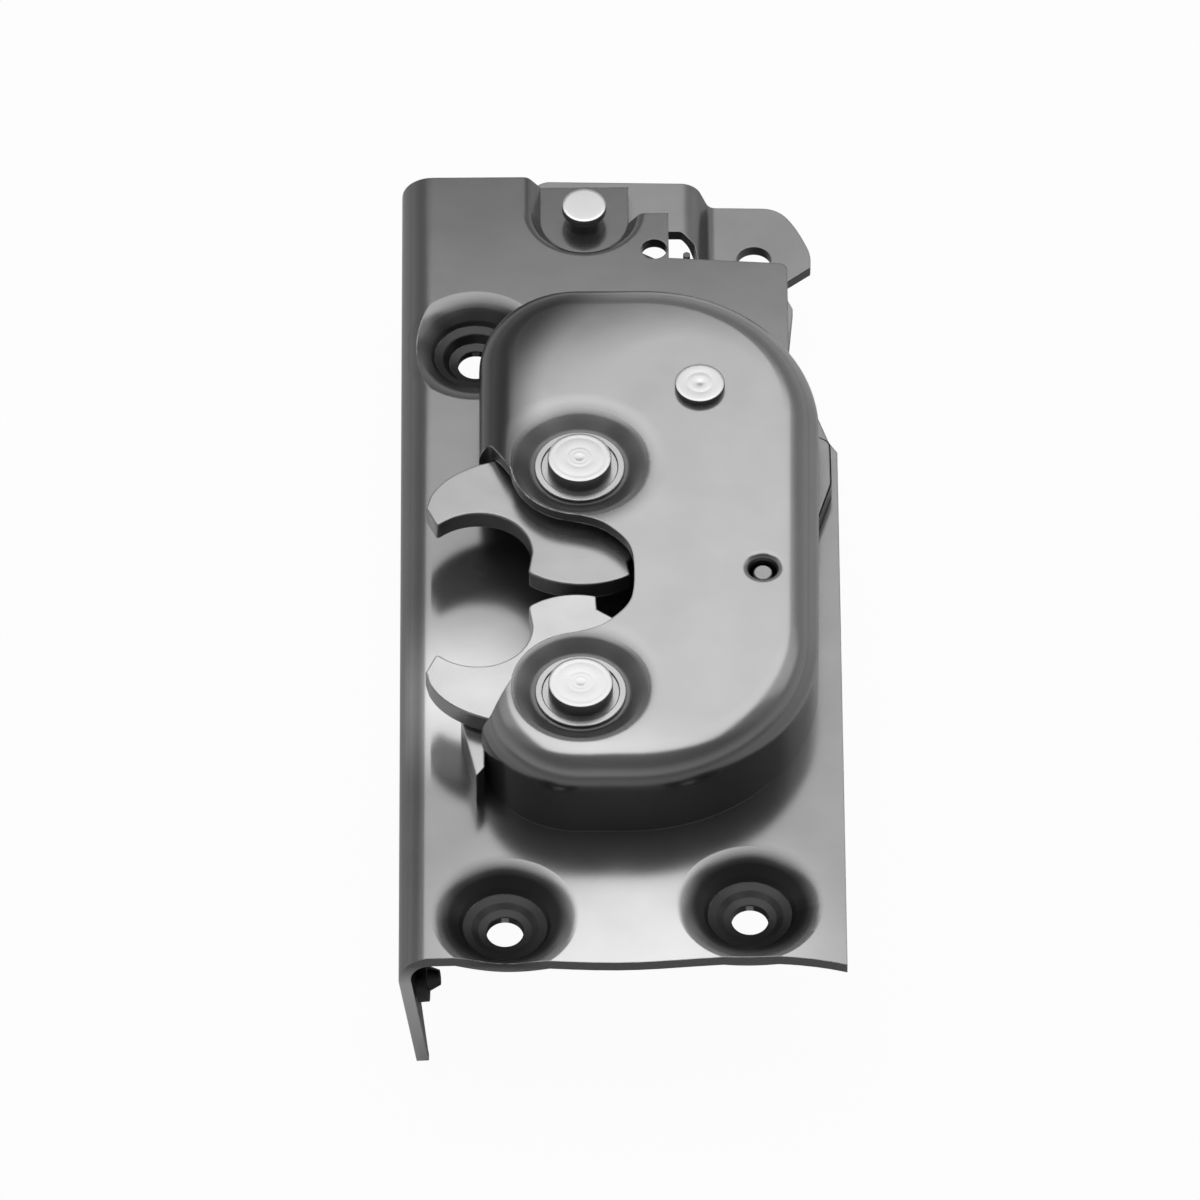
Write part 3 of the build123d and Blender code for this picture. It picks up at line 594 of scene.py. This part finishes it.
# The same plating on the drawn cover, which the draw ring smoothed: paler, with a painted pool of light low on its
# face, painted shade round its dishes, and its upper edges painted bright as wear and highlight
BLACK_ZINC_COVER = DrawnFinish(
    name="black_zinc_drawn_cover",
    colour="#aeaeaf",
    flank_shade_colour="#808081",
    wear_and_sheen_colour="#f0f0f0",
    roughness=0.21,
    roughness_spread=0.01,
    mottle=0.04,
    edge_radius_mm=0.4,
    edge_wear_and_sheen=0.95,
    wear_and_sheen_above_mm=4.0,
    painted_light_spots=(SoftSpot(0.0, -58.0, 36.0, 32.4),),
    painted_light_colour="#c8c8c9",
    seat_shade_spots=(SoftSpot(0.0, 27.0, 14.5, 5.0), SoftSpot(0.0, -26.0, 14.5, 5.0)),
    seat_shade_share=0.68,
    crown=LongCore(19.0, -16.0, 39.0, 17.0),
    crown_bend=0.0026,
    shaded=LongCore(19.0, -10.0, 42.0, 25.0),
    dish_centres_mm=((0.0, 26.5), (0.0, -26.5)),
)

# Stamped lever: paler zinc on the blanked faces, with painted shade on the sheared edges
LEVER_SHEET = MetalFinish(
    name="plated_stamped_lever",
    colour="#a9a9aa",
    flank_shade_colour="#5a5a5b",
    wear_and_sheen_colour="#e0e0e0",
    roughness=0.32,
    mottle=0.08,
    edge_wear_and_sheen=0.6,
)

# The same lever sheet under the flange, painted dark as the shade it lies in, and with hardly any bright edges
SHADED_FLANGE_LEVER = replace(
    LEVER_SHEET, name="shaded_flange_lever", colour="#4a4a4b", flank_shade_colour="#3a3a3b", edge_wear_and_sheen=0.1
)

# Case-hardened fork, tumbled before plating: fine grain, and broken edges painted bright as wear and highlight
FORK_STEEL = MetalFinish(
    name="case_hardened_fork_steel",
    colour="#b8b8b8",
    flank_shade_colour="#a2a2a2",
    wear_and_sheen_colour="#ffffff",
    roughness=0.25,
    mottle=0.07,
    grain_mm=0.5,
    grain_height_mm=0.006,
    edge_radius_mm=0.25,
    edge_wear_and_sheen=0.8,
)

# The two forks take shaded and lit copies of the fork steel: the lower one is painted paler as light, the upper one
# darker as shade
SHADED_UPPER_FORK = replace(FORK_STEEL, name="case_hardened_upper_fork_shaded", colour="#adadad")
LIT_LOWER_FORK = replace(FORK_STEEL, name="case_hardened_lower_fork_lit", colour="#c6c6c6")

# Blanked arm with lightly pitted zinc, which leaves it matt and uneven
ARM_STEEL = MetalFinish(
    name="pitted_zinc_arm_steel",
    colour="#a8a8a8",
    flank_shade_colour="#6a6a6a",
    wear_and_sheen_colour="#ececec",
    roughness=0.42,
    roughness_spread=0.08,
    mottle=0.12,
    grain_mm=0.6,
    grain_height_mm=0.03,
)

# Turned steel, whose bright zinc is soft over fine tool lines
TURNED_STEEL = MetalFinish(
    name="turned_zinc_steel",
    colour="#cfcfcf",
    flank_shade_colour="#8a8a8a",
    wear_and_sheen_colour="#f6f6f6",
    roughness=0.27,
)

# The post that shows through the cover, in a darker copy of the turned steel
POST_STEEL = replace(TURNED_STEEL, name="dulled_zinc_post", colour="#9a9a9a")

# Stamped washer under a rivet head: bright zinc, with a painted highlight on its outer edge
ZINC_RING = MetalFinish(
    name="bright_zinc_ring",
    colour="#bcbcbc",
    flank_shade_colour="#7c7c7c",
    wear_and_sheen_colour="#ffffff",
    roughness=0.26,
    edge_radius_mm=0.15,
    edge_wear_and_sheen=1.0,
)

# Drawn spring wire: oiled dark steel with no plating to wear off
SPRING_WIRE = MetalFinish(
    name="drawn_spring_wire",
    colour="#7c7c7e",
    flank_shade_colour="#66666a",
    wear_and_sheen_colour="#b0b0b0",
    roughness=0.33,
    edge_wear_and_sheen=0.0,
)

# Spun and peened rivet: bright zinc that breaks up the light in fine rings
PEENED_ZINC = PeenedFinish(
    name="bright_zinc",
    colour="#dfdfdf",
    flank_shade_colour="#6e6e6e",
    wear_and_sheen_colour="#ffffff",
    roughness=0.30,
    edge_radius_mm=0.15,
)


def deselect() -> None:
    """Leave no object selected and no edit mode open."""
    if bpy.context.object and bpy.context.object.mode != "OBJECT":
        bpy.ops.object.mode_set(mode="OBJECT")
    bpy.ops.object.select_all(action="DESELECT")


def dress(piece: bpy.types.Object, material: bpy.types.Material) -> None:
    """Give every material slot of a piece one material.

    Args:
        piece: Mesh piece or CAD node.
        material: The finished material.
    """
    if not piece.material_slots:
        piece.data.materials.append(material)
    for slot in piece.material_slots:
        slot.material = material


@dataclass(frozen=True)
class Panel:
    """A soft light panel that hangs level over the latch: its sides in metres, and its level, where 1 shows white."""

    name: str
    left: float
    right: float
    front: float
    back: float
    level: float


@dataclass
class Studio:
    """Floor, light panels, sky and camera.

    The sky's levels are radiances, where 1 shows white. Its pairs are directions as parts of a unit
    vector, upward for a rise and rearward for a turn, and give where a change starts and ends.
    """

    target_mm: tuple[float, float, float] = (3.56, 8.19, 0.0)
    distance_mm: float = 2706.0
    elevation: float = math.radians(50.0)
    roll: float = math.radians(0.37)
    lens_mm: float = 447.0
    sensor_mm: float = 36.0
    clip_end: float = 20.0
    panel_height: float = 0.60
    panels: tuple[Panel, ...] = (
        Panel("wide_panel", left=-0.295, right=0.305, front=-0.14, back=0.605, level=1.3),
        Panel("right_panel", left=0.31, right=0.95, front=0.15, back=0.605, level=0.5),
        Panel("left_panel", left=-0.95, right=-0.30, front=0.15, back=0.605, level=0.3),
    )
    sky_rise: tuple[float, float] = (0.05, 0.5)
    sky_low: float = 0.48
    sky_high: float = 0.22
    front_turn: tuple[float, float] = (0.05, -0.35)
    front_rise: tuple[float, float] = (0.25, 0.6)
    front_low: float = 0.42
    front_high: float = 0.10
    foot_rise: tuple[float, float] = (0.04, 0.2)
    foot_share: float = 0.3
    floor_mm: float = -31.0
    floor_size: float = 12.0
    floor_colour: str = "#f4f4f4"
    floor_glow: float = 0.96

    def place_camera(self) -> None:
        """Set the camera where the photograph was taken from."""
        data = bpy.data.cameras.new("camera")
        data.lens = self.lens_mm
        data.sensor_width = self.sensor_mm
        data.clip_end = self.clip_end
        camera = bpy.data.objects.new("camera", data)
        bpy.context.scene.collection.objects.link(camera)
        back = Vector((0.0, -math.cos(self.elevation), math.sin(self.elevation)))
        level_right = Vector((1.0, 0.0, 0.0))
        level_up = Vector((0.0, math.sin(self.elevation), math.cos(self.elevation)))
        right = level_right * math.cos(self.roll) - level_up * math.sin(self.roll)
        up = level_up * math.cos(self.roll) + level_right * math.sin(self.roll)
        turn = Matrix((right, up, back)).transposed().to_4x4()
        place = (Vector(self.target_mm) + back * self.distance_mm) * MM
        camera.matrix_world = Matrix.Translation(place) @ turn
        bpy.context.scene.camera = camera

    def hang_panels(self) -> None:
        """Hang the light panels, which face straight down as Blender makes them."""
        for panel in self.panels:
            width, depth = panel.right - panel.left, panel.back - panel.front
            light = bpy.data.lights.new(panel.name, "AREA")
            light.shape = "RECTANGLE"
            light.size, light.size_y = width, depth
            light.energy = panel.level * math.pi * width * depth
            lamp = bpy.data.objects.new(panel.name, light)
            bpy.context.scene.collection.objects.link(lamp)
            lamp.location = ((panel.left + panel.right) / 2, (panel.front + panel.back) / 2, self.panel_height)

    def paint_sky(self) -> None:
        """Paint the grey sky, with a lighter band low in front that fades towards the floor."""
        world = bpy.data.worlds.new("sky")
        bpy.context.scene.world = world
        world.use_nodes = True
        tree = world.node_tree
        tree.nodes.clear()
        around = add_node(tree, "TexCoord")
        heading = add_node(tree, "SeparateXYZ", {0: around.outputs["Generated"]})
        rearward, upward = heading.outputs["Y"], heading.outputs["Z"]
        start, end = self.sky_rise
        sky = add_node(
            tree,
            "MapRange",
            {"Value": upward, "From Min": start, "From Max": end, "To Min": self.sky_low, "To Max": self.sky_high},
        )
        start, end = self.front_rise
        band = add_node(
            tree,
            "MapRange",
            {"Value": upward, "From Min": start, "From Max": end, "To Min": self.front_low, "To Max": self.front_high},
        )
        start, end = self.foot_rise
        foot = add_node(
            tree, "MapRange", {"Value": upward, "From Min": start, "From Max": end, "To Min": self.foot_share}
        )
        front = add_node(tree, "Math", {0: band, 1: foot}, operation="MULTIPLY")
        start, end = self.front_turn
        ahead = add_node(
            tree, "MapRange", {"Value": rearward, "From Min": start, "From Max": end}, interpolation_type="SMOOTHSTEP"
        )
        level = add_node(tree, "Mix", {"Factor": ahead, "A": sky, "B": front}, data_type="FLOAT")
        shown = add_node(tree, "Background", {"Color": linear("#ffffff"), "Strength": level})
        add_node(tree, "OutputWorld", {"Surface": shown})

    def lay_floor(self) -> None:
        """Lay the white floor, which shows as white and keeps a faint shadow."""
        deselect()
        bpy.ops.mesh.primitive_plane_add(size=self.floor_size, location=(0, 0, self.floor_mm * MM))
        floor = bpy.context.object
        floor.name = "studio_floor"
        bpy.ops.object.transform_apply(location=True, rotation=True, scale=True)
        material = bpy.data.materials.new("white_paper_floor")
        material.use_nodes = True
        tree = material.node_tree
        tree.nodes.clear()
        matt = add_node(tree, "BsdfDiffuse", {"Color": linear(self.floor_colour)})
        glow = add_node(tree, "Emission", {"Color": linear("#ffffff")})
        seen = add_node(tree, "MixShader", {0: self.floor_glow, 1: matt, 2: glow})
        path = add_node(tree, "LightPath")
        direct = add_node(
            tree,
            "Math",
            {0: path.outputs["Is Camera Ray"], 1: path.outputs["Is Transmission Ray"]},
            operation="MAXIMUM",
        )
        both = add_node(tree, "MixShader", {0: direct, 1: matt, 2: seen})
        add_node(tree, "OutputMaterial", {"Surface": both})
        dress(floor, material)

    def build(self) -> None:
        """Build the studio."""
        self.place_camera()
        self.hang_panels()
        self.paint_sky()
        self.lay_floor()
        bpy.context.scene.view_settings.view_transform = "Standard"


@dataclass(frozen=True, kw_only=True)
class ModelledPiece:
    """A piece that is modelled here and takes the place of one CAD node."""

    node: str
    slot: Slot
    body: str

    def hand_over(self, piece: bpy.types.Object, finish: MetalFinish) -> bpy.types.Object:
        """Dress a shaped piece, tie it to its body and put it in the node's place.

        Args:
            piece: The shaped piece.
            finish: Its finish.

        Returns:
            The same piece, finished.
        """
        dress(piece, finish.build())
        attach(piece, self.body)
        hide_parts(self.node)
        return piece


@dataclass(frozen=True, kw_only=True)
class PeenedRivet(ModelledPiece):
    """A rivet turned in one piece: tail, shank, and a head that the peening tool left ringed.

    Radii, depths and heights are millimetres, with heights from the mounting face.
    """

    slot: Slot = Slot.RIVET
    body: str = "body"
    centre_mm: tuple[float, float]
    tail_radius: float
    tail_low: float
    shank_low: float
    shank_radius: float
    head_low: float
    head_radius: float
    head_top: float
    edge: float = 0.25
    # Share of the edge that its middle ring is cut by
    edge_belly: float = 0.3
    crown: float = 0.04
    # A ring just inside the edge keeps the crown's shading smooth: how far in, and its share of the drop
    crown_hold: tuple[float, float] = (0.35, 0.8)
    groove_radii: tuple[float, ...] = ()
    groove_half: float = 0.2
    groove_depth: float = 0.016
    dimple_radius: float = 0.0
    dimple_lip: float = 0.25
    dimple_depths: tuple[float, float] = (0.03, 0.05)
    # Share of the dimple's radius where its floor begins
    dimple_floor: float = 0.45
    centre_radius: float = 0.02
    centre_depth: float = 0.004
    sides: int = 96
    smooth_angle: float = math.radians(28)
    colour: str = PEENED_ZINC.colour

    def profile(self) -> list[tuple[float, float]]:
        """Give the outline that is turned.

        Returns:
            Radius and height of each ring from the tail up, in millimetres.
        """
        rim = self.head_radius
        top = self.head_top
        shoulder = top - self.crown
        belly = self.edge_belly * self.edge
        hold_in, hold_drop = self.crown_hold
        line = [
            (self.tail_radius - self.edge, self.tail_low),
            (self.tail_radius, self.tail_low + self.edge),
            (self.tail_radius, self.shank_low),
            (self.shank_radius, self.shank_low),
            (self.shank_radius, self.head_low),
            (rim, self.head_low),
            (rim, shoulder - self.edge),
            (rim - belly, shoulder - belly),
            (rim - self.edge, shoulder),
            (rim - self.edge - hold_in, top - hold_drop * self.crown),
        ]
        for radius in self.groove_radii:
            land = top - self.crown * (radius / rim) ** 2
            line += [
                (radius + self.groove_half, land),
                (radius, land - self.groove_depth),
                (radius - self.groove_half, land),
            ]
        if self.dimple_radius:
            wall_depth, floor_depth = self.dimple_depths
            line += [
                (self.dimple_radius + self.dimple_lip, top),
                (self.dimple_radius, top - wall_depth),
                (self.dimple_radius * self.dimple_floor, top - floor_depth),
            ]
        line.append((self.centre_radius, line[-1][1] - self.centre_depth))
        return line

    def build(self) -> bpy.types.Object:
        """Turn the rivet: a disc is drawn out ring by ring along its axis.

        Returns:
            The finished rivet.
        """
        deselect()
        profile = [(radius * MM, height * MM) for radius, height in self.profile()]
        x, y = (place * MM for place in self.centre_mm)
        first_radius, first_height = profile[0]
        bpy.ops.mesh.primitive_circle_add(
            vertices=self.sides, radius=first_radius, fill_type="NGON", location=(x, y, first_height)
        )
        piece = bpy.context.object
        piece.name = self.node + "_turned"
        bpy.ops.object.transform_apply(location=True, rotation=True, scale=True)
        bpy.ops.object.mode_set(mode="EDIT")
        bpy.ops.mesh.select_all(action="SELECT")
        for (radius, height), (next_radius, next_height) in zip(profile, profile[1:]):
            bpy.ops.mesh.extrude_region_move(TRANSFORM_OT_translate={"value": (0, 0, next_height - height)})
            scale = next_radius / radius
            bpy.ops.transform.resize(value=(scale, scale, 1), center_override=(x, y, next_height))
        bpy.ops.mesh.select_all(action="SELECT")
        bpy.ops.mesh.normals_make_consistent(inside=False)
        bpy.ops.object.mode_set(mode="OBJECT")
        bpy.ops.object.shade_smooth_by_angle(angle=self.smooth_angle)
        name = self.node + "_bright_zinc"
        finish = replace(PEENED_ZINC, name=name, colour=self.colour, centre_mm=self.centre_mm)
        return self.hand_over(piece, finish)


@dataclass(frozen=True, kw_only=True)
class BlankedPiece(ModelledPiece):
    """A blanked plate part whose cut edges are broken by tumbling."""

    finish: MetalFinish
    edge_mm: float = 0.35
    edge_steps: int = 3
    edge_angle: float = math.radians(40)
    weld_mm: float = 0.002
    flat_angle: float = math.radians(1)
    smooth_angle: float = math.radians(60)

    def build(self) -> bpy.types.Object:
        """Copy the part's solid, merge its triangles and round its edges.

        Returns:
            The finished part.
        """
        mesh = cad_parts[self.node].data.copy()
        piece = bpy.data.objects.new(self.node + "_tumbled", mesh)
        bpy.context.scene.collection.objects.link(piece)
        deselect()
        bpy.context.view_layer.objects.active = piece
        piece.select_set(True)
        bpy.ops.object.mode_set(mode="EDIT")
        bpy.ops.mesh.select_all(action="SELECT")
        bpy.ops.mesh.remove_doubles(threshold=self.weld_mm * MM)
        bpy.ops.mesh.dissolve_limited(angle_limit=self.flat_angle)
        bpy.ops.object.mode_set(mode="OBJECT")
        bevel = piece.modifiers.new("broken_edges", "BEVEL")
        bevel.width = self.edge_mm * MM
        bevel.segments = self.edge_steps
        bevel.limit_method = "ANGLE"
        bevel.angle_limit = self.edge_angle
        bevel.use_clamp_overlap = False
        bpy.ops.object.modifier_apply(modifier=bevel.name)
        bpy.ops.object.shade_smooth_by_angle(angle=self.smooth_angle)
        flatten = piece.modifiers.new("flat_faces", "WEIGHTED_NORMAL")
        flatten.keep_sharp = True
        bpy.ops.object.modifier_apply(modifier=flatten.name)
        return self.hand_over(piece, self.finish)


@dataclass
class CarriedNodes:
    """CAD nodes that keep their shape and take a finish."""

    finishes: dict[str, MetalFinish] = field(
        default_factory=lambda: {
            "frame_plate": BLACK_ZINC_SHEET,
            "fork_housing": BLACK_ZINC_COVER,
            "upper_pivot_washer": ZINC_RING,
            "lower_pivot_washer": ZINC_RING,
            "upper_fork_bushing": TURNED_STEEL,
            "lower_fork_bushing": TURNED_STEEL,
            "upper_fork_spring": SPRING_WIRE,
            "lower_fork_spring": SPRING_WIRE,
            "detent_lever": FORK_STEEL,
            "detent_spacer": TURNED_STEEL,
            "detent_spring": SPRING_WIRE,
            "locating_post": POST_STEEL,
            "outside_release_lever": LEVER_SHEET,
            "lever_pin_washer": TURNED_STEEL,
            "release_lever_spring": SPRING_WIRE,
            "release_link": LEVER_SHEET,
            "link_rivet": TURNED_STEEL,
            "inside_release_lever": SHADED_FLANGE_LEVER,
            "inside_release_rivet": TURNED_STEEL,
            "locking_lever": SHADED_FLANGE_LEVER,
            "locking_rivet": TURNED_STEEL,
        }
    )

    def build(self) -> None:
        """Dress every CAD node, with one material for each finish."""
        made: dict[str, bpy.types.Material] = {}
        for name, finish in self.finishes.items():
            if finish.name not in made:
                made[finish.name] = finish.build()
            dress(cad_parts[name], made[finish.name])
            LOG.info("%s dressed as %s", name, finish.name)


# The forks' pivots, with two grooves turned round the dimple of the lathe's centre
UPPER_PIVOT = PeenedRivet(
    node="upper_pivot_rivet",
    centre_mm=(0.0, 26.5),
    tail_radius=6.6,
    tail_low=-4.0,
    shank_low=-2.2,
    shank_radius=4.5,
    head_low=15.65,
    head_radius=5.8,
    head_top=18.6,
    groove_radii=(4.6, 2.3, 1.4),
    dimple_radius=0.7,
    colour="#dcdcdc",
)
LOWER_PIVOT = replace(UPPER_PIVOT, node="lower_pivot_rivet", centre_mm=(0.0, -26.5))

# The pawl's pivot, whose head stands on the cover's face
DETENT_RIVET = PeenedRivet(
    node="detent_rivet",
    centre_mm=(22.0, 43.9),
    tail_radius=5.1,
    tail_low=-4.0,
    shank_low=-2.2,
    shank_radius=3.1,
    head_low=17.5,
    head_radius=4.55,
    head_top=19.0,
    groove_radii=(2.4,),
    dimple_radius=0.5,
)

# The release lever's pin, with a plain pressed head
RELEASE_PIN = PeenedRivet(
    node="release_lever_pin",
    centre_mm=(1.1, 102.8),
    tail_radius=4.8,
    tail_low=-15.2,
    shank_low=-13.6,
    shank_radius=3.4,
    head_low=-0.1,
    head_radius=4.1,
    head_top=1.4,
    colour="#f6f6f6",
)

# The two forks, and the arm that shows beside the housing
UPPER_FORK_BOLT = BlankedPiece(node="upper_fork_bolt", slot=Slot.FORK, body="upper_fork", finish=SHADED_UPPER_FORK)
LOWER_FORK_BOLT = BlankedPiece(node="lower_fork_bolt", slot=Slot.FORK, body="lower_fork", finish=LIT_LOWER_FORK)
DETENT_ARM = BlankedPiece(node="detent_arm", slot=Slot.ARM, body="detent", finish=ARM_STEEL, edge_mm=0.3)


def main() -> None:
    """Build the studio and dress the latch."""
    logging.basicConfig(level=logging.INFO, format="%(name)s: %(message)s")
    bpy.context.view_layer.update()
    Studio().build()
    CarriedNodes().build()
    for part in (UPPER_PIVOT, LOWER_PIVOT, DETENT_RIVET, RELEASE_PIN, UPPER_FORK_BOLT, LOWER_FORK_BOLT, DETENT_ARM):
        piece = part.build()
        LOG.info("%s built with %d faces", piece.name, len(piece.data.polygons))


if __name__ == "__main__":
    main()
